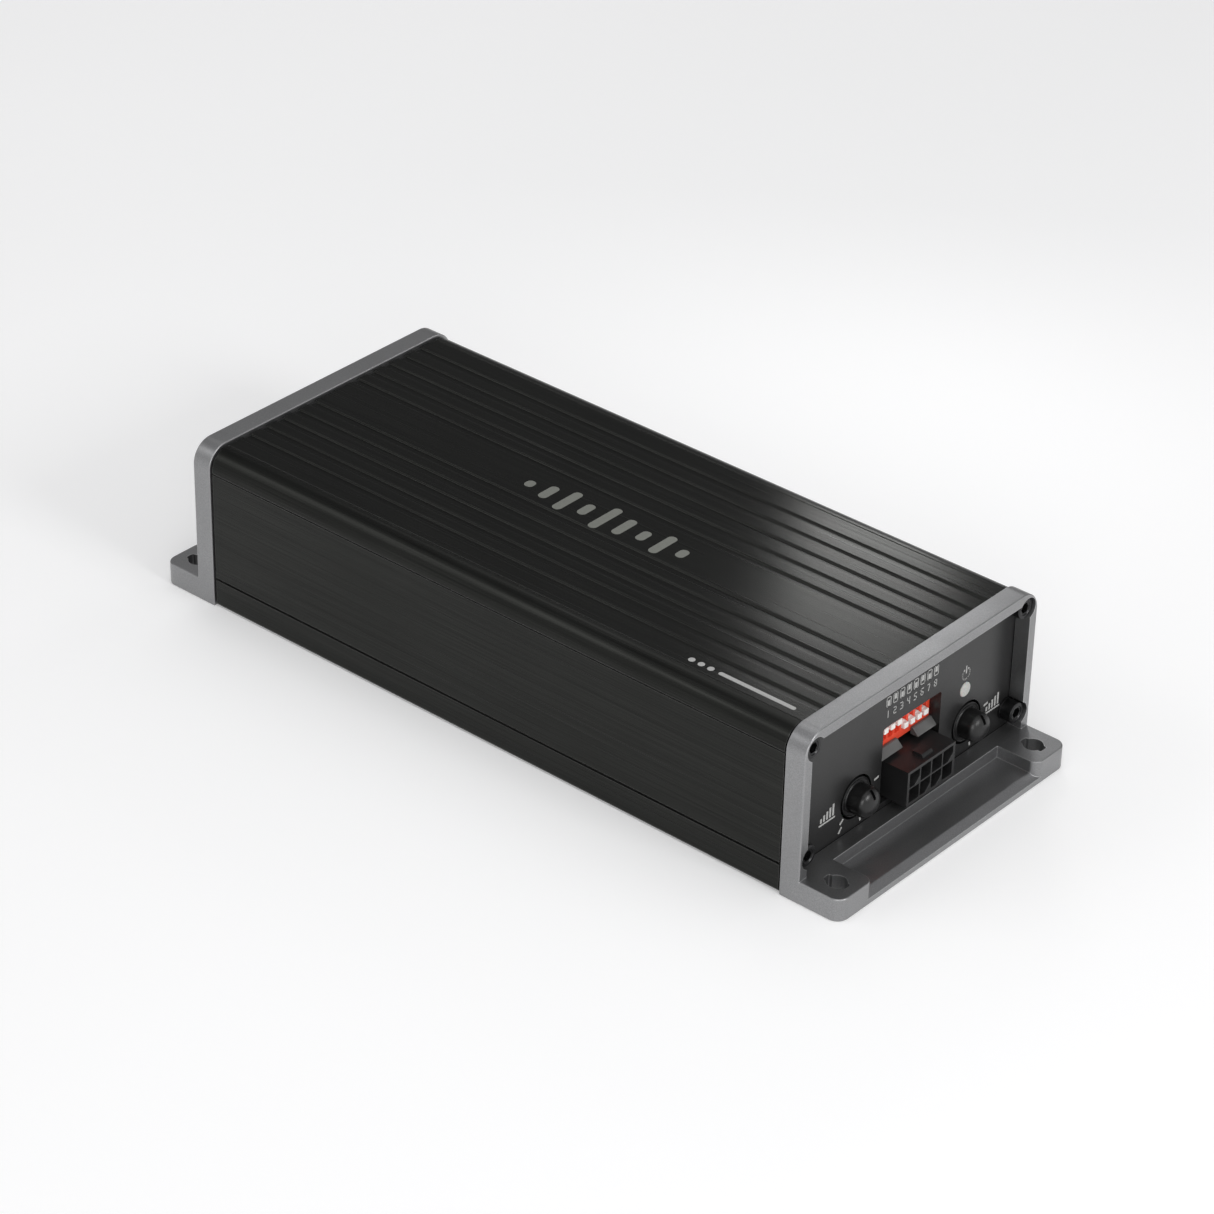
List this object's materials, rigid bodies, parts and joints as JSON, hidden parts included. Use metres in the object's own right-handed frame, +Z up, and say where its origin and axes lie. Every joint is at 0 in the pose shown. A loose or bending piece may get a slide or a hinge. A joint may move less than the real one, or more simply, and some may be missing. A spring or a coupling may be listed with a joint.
{
  "type": "car amplifier",
  "caption": "Compact car amplifier: a black grooved extruded heatsink body closed by cast grey end caps with slotted mounting feet, with recessed controls and a plug header.",
  "frame": {"origin": "bottom centre of the whole object, on the plane that the feet stand on", "axes": "+X along the body towards the end with the controls, +Y across it, +Z up"},
  "size_m": [0.2156, 0.0864, 0.0445],
  "materials": {
    "black_aluminium": "black anodised, brushed along its length",
    "cast_satin": "satin metallic grey casting",
    "panel_black": "satin black",
    "gasket_rubber": "matt",
    "screw_black": "black oxide",
    "black_plastic": "moulded",
    "knob_black": "satin moulded",
    "steel": "plain",
    "tinned": "tin plated",
    "switch_red": "moulded",
    "switch_white": "moulded",
    "frosted_clear": "frosted",
    "fuse_red": "tinted",
    "board_green": "solder mask",
    "ferrite": "sintered",
    "copper": "enamelled copper",
    "sleeve_blue": "shrink sleeve",
    "chip_black": "moulded",
    "pad_grey": "soft"
  },
  "bodies": {
    "chassis": {"heatsink_body": "black_aluminium", "front_end_cap": "cast_satin", "front_panel": "panel_black", "front_gasket": "gasket_rubber", "front_screw_1": "screw_black", "front_screw_2": "screw_black", "front_screw_3": "screw_black", "front_screw_4": "screw_black", "rear_end_cap": "cast_satin", "rear_panel": "panel_black", "rear_gasket": "gasket_rubber", "rear_screw_1": "screw_black", "rear_screw_2": "screw_black", "rear_screw_3": "screw_black", "rear_screw_4": "screw_black", "input_header": "black_plastic", "output_header": "black_plastic", "power_header": "black_plastic", "fuse_holder": "black_plastic", "control_board_header": "black_plastic", "gain_pot_1": "steel", "gain_pot_2": "steel", "heat_spreader_left": "steel", "heat_spreader_right": "steel", "input_contacts": "tinned", "output_contacts": "tinned", "power_contacts": "tinned", "dip_switch_body": "switch_red", "status_led": "switch_white", "light_pipe": "frosted_clear", "blade_fuse": "fuse_red", "main_board": "board_green", "control_board": "board_green", "transformer_core": "ferrite", "output_inductor_1": "ferrite", "output_inductor_2": "ferrite", "output_inductor_3": "ferrite", "output_inductor_4": "ferrite", "transformer_winding": "copper", "filter_capacitor_1": "sleeve_blue", "filter_capacitor_2": "sleeve_blue", "filter_capacitor_3": "sleeve_blue", "filter_capacitor_4": "sleeve_blue", "power_chip": "chip_black", "amplifier_chip": "chip_black", "thermal_pad_left": "pad_grey", "thermal_pad_right": "pad_grey"},
    "gain_1": {"gain_knob_1": "knob_black", "gain_shaft_1": "steel"},
    "gain_2": {"gain_knob_2": "knob_black", "gain_shaft_2": "steel"},
    "mode_1": {"dip_slider_1": "switch_white"},
    "mode_2": {"dip_slider_2": "switch_white"},
    "mode_3": {"dip_slider_3": "switch_white"},
    "mode_4": {"dip_slider_4": "switch_white"},
    "mode_5": {"dip_slider_5": "switch_white"},
    "mode_6": {"dip_slider_6": "switch_white"},
    "mode_7": {"dip_slider_7": "switch_white"},
    "mode_8": {"dip_slider_8": "switch_white"}
  },
  "joints": [
    {"name": "gain_1_turn", "type": "hinge", "parent": "chassis", "child": "gain_1", "pos_m": [0.0925, -0.01795, 0.0145], "axis": [1, 0, 0], "range_deg": [-150, 150]},
    {"name": "gain_2_turn", "type": "hinge", "parent": "chassis", "child": "gain_2", "pos_m": [0.0925, 0.02375, 0.0145], "axis": [1, 0, 0], "range_deg": [-150, 150]},
    {"name": "mode_1_slide", "type": "slide", "parent": "chassis", "child": "mode_1", "axis": [0, 0, 1], "range_m": [-0.0021, 0]},
    {"name": "mode_2_slide", "type": "slide", "parent": "chassis", "child": "mode_2", "axis": [0, 0, 1], "range_m": [-0.0021, 0]},
    {"name": "mode_3_slide", "type": "slide", "parent": "chassis", "child": "mode_3", "axis": [0, 0, 1], "range_m": [-0.0021, 0]},
    {"name": "mode_4_slide", "type": "slide", "parent": "chassis", "child": "mode_4", "axis": [0, 0, 1], "range_m": [-0.0021, 0]},
    {"name": "mode_5_slide", "type": "slide", "parent": "chassis", "child": "mode_5", "axis": [0, 0, 1], "range_m": [0, 0.0021]},
    {"name": "mode_6_slide", "type": "slide", "parent": "chassis", "child": "mode_6", "axis": [0, 0, 1], "range_m": [0, 0.0021]},
    {"name": "mode_7_slide", "type": "slide", "parent": "chassis", "child": "mode_7", "axis": [0, 0, 1], "range_m": [0, 0.0021]},
    {"name": "mode_8_slide", "type": "slide", "parent": "chassis", "child": "mode_8", "axis": [0, 0, 1], "range_m": [0, 0.0021]}
  ]
}
